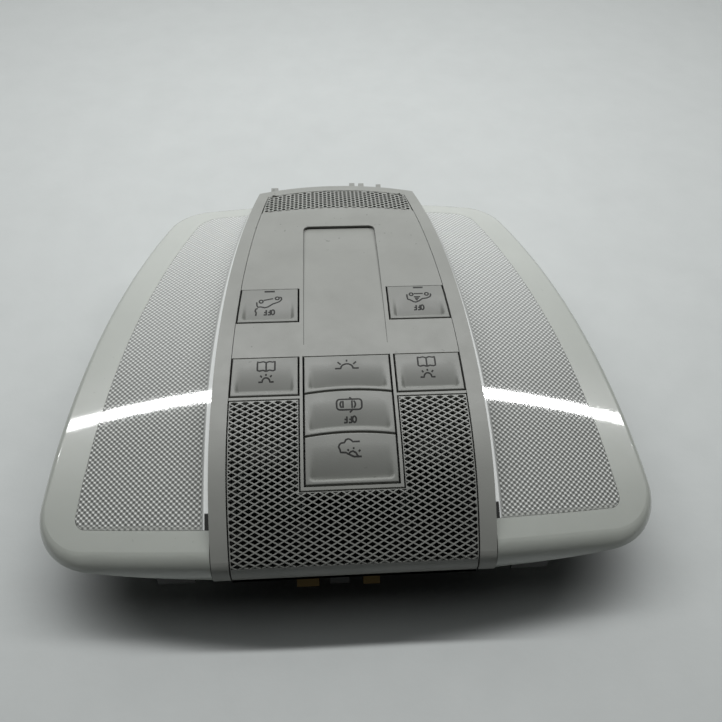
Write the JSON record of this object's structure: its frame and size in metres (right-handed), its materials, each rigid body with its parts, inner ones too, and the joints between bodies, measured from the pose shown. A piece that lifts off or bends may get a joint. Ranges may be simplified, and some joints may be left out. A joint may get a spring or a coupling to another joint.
{
  "type": "car interior light",
  "caption": "Overhead car console lamp: crowned middle with finger keys, diamond grille and perforated end, between two swept lenses with prismatic windows.",
  "frame": {"origin": "middle of the flat back face of the rear cover, the face it lies on", "axes": "+X right, across the width; +Y to the narrow far end; +Z out of the visible face"},
  "size_m": [0.2302, 0.2109, 0.0525],
  "materials": {
    "grey_plastic": "fine grain, satin",
    "grille_plastic": "satin",
    "milky_plastic": "glossy, milky",
    "clear_plastic": "clear with a prism pattern",
    "white_plastic": "glossy white",
    "rubber": "matte",
    "bulb_glass": "clear",
    "board": "solder resist",
    "sensor_can": "satin",
    "steel": "plain",
    "spring_metal": "yellow",
    "black_plastic": "matte"
  },
  "bodies": {
    "housing": {"carrier": "black_plastic", "centre_panel": "grey_plastic", "circuit_board": "board", "connector_header": "black_plastic", "courtesy_bulb_left": "bulb_glass", "courtesy_bulb_right": "bulb_glass", "courtesy_holder_left": "black_plastic", "courtesy_holder_right": "black_plastic", "cover_screws": "steel", "diamond_grille": "grille_plastic", "dome_alarm_left": "rubber", "dome_alarm_right": "rubber", "dome_cabin_light": "rubber", "dome_door_light": "rubber", "dome_reading_left": "rubber", "dome_reading_right": "rubber", "dome_rear_light": "rubber", "key_carrier_left": "black_plastic", "key_carrier_middle": "black_plastic", "key_carrier_right": "black_plastic", "lens_surround_left": "milky_plastic", "lens_surround_right": "milky_plastic", "lens_window_left": "clear_plastic", "lens_window_right": "clear_plastic", "microphone": "black_plastic", "motion_sensor_left": "sensor_can", "motion_sensor_right": "sensor_can", "near_spring_clip": "spring_metal", "panel_screws": "steel", "reading_bulb_left": "bulb_glass", "reading_bulb_right": "bulb_glass", "reading_holder_left": "black_plastic", "reading_holder_right": "black_plastic", "rear_cover": "black_plastic", "reflector_left": "white_plastic", "reflector_right": "white_plastic", "trim_frame": "grey_plastic"},
    "key_alarm_left": {"key_alarm_left": "grey_plastic"},
    "key_alarm_right": {"key_alarm_right": "grey_plastic"},
    "key_cabin_light": {"key_cabin_light": "grey_plastic"},
    "key_door_light": {"key_door_light": "grey_plastic"},
    "key_reading_left": {"key_reading_left": "grey_plastic"},
    "key_reading_right": {"key_reading_right": "grey_plastic"},
    "key_rear_light": {"key_rear_light": "grey_plastic"}
  },
  "joints": [
    {"name": "alarm_left_press", "type": "hinge", "parent": "housing", "child": "key_alarm_left", "pos_m": [-0.031, 0.01805, 0.04622], "axis": [1, 0, 0], "range_deg": [0, 3.5], "stiffness_Nm_per_rad": 0.7, "deforming": ["dome_alarm_left"]},
    {"name": "alarm_right_press", "type": "hinge", "parent": "housing", "child": "key_alarm_right", "pos_m": [0.031, 0.01805, 0.04622], "axis": [1, 0, 0], "range_deg": [0, 3.5], "stiffness_Nm_per_rad": 0.7, "deforming": ["dome_alarm_right"]},
    {"name": "cabin_light_press", "type": "hinge", "parent": "housing", "child": "key_cabin_light", "pos_m": [0, -0.01955, 0.04521], "axis": [1, 0, 0], "range_deg": [0, 3.5], "stiffness_Nm_per_rad": 0.7, "deforming": ["dome_cabin_light"]},
    {"name": "door_light_press", "type": "hinge", "parent": "housing", "child": "key_door_light", "pos_m": [0, -0.03715, 0.04351], "axis": [1, 0, 0], "range_deg": [0, 3.5], "stiffness_Nm_per_rad": 0.7, "deforming": ["dome_door_light"]},
    {"name": "reading_left_press", "type": "hinge", "parent": "housing", "child": "key_reading_left", "pos_m": [-0.0319, -0.01955, 0.04521], "axis": [1, 0, 0], "range_deg": [0, 3.5], "stiffness_Nm_per_rad": 0.7, "deforming": ["dome_reading_left"]},
    {"name": "reading_right_press", "type": "hinge", "parent": "housing", "child": "key_reading_right", "pos_m": [0.0319, -0.01955, 0.04521], "axis": [1, 0, 0], "range_deg": [0, 3.5], "stiffness_Nm_per_rad": 0.7, "deforming": ["dome_reading_right"]},
    {"name": "rear_light_press", "type": "hinge", "parent": "housing", "child": "key_rear_light", "pos_m": [0, -0.05505, 0.0408], "axis": [1, 0, 0], "range_deg": [0, 3.5], "stiffness_Nm_per_rad": 0.7, "deforming": ["dome_rear_light"]}
  ]
}
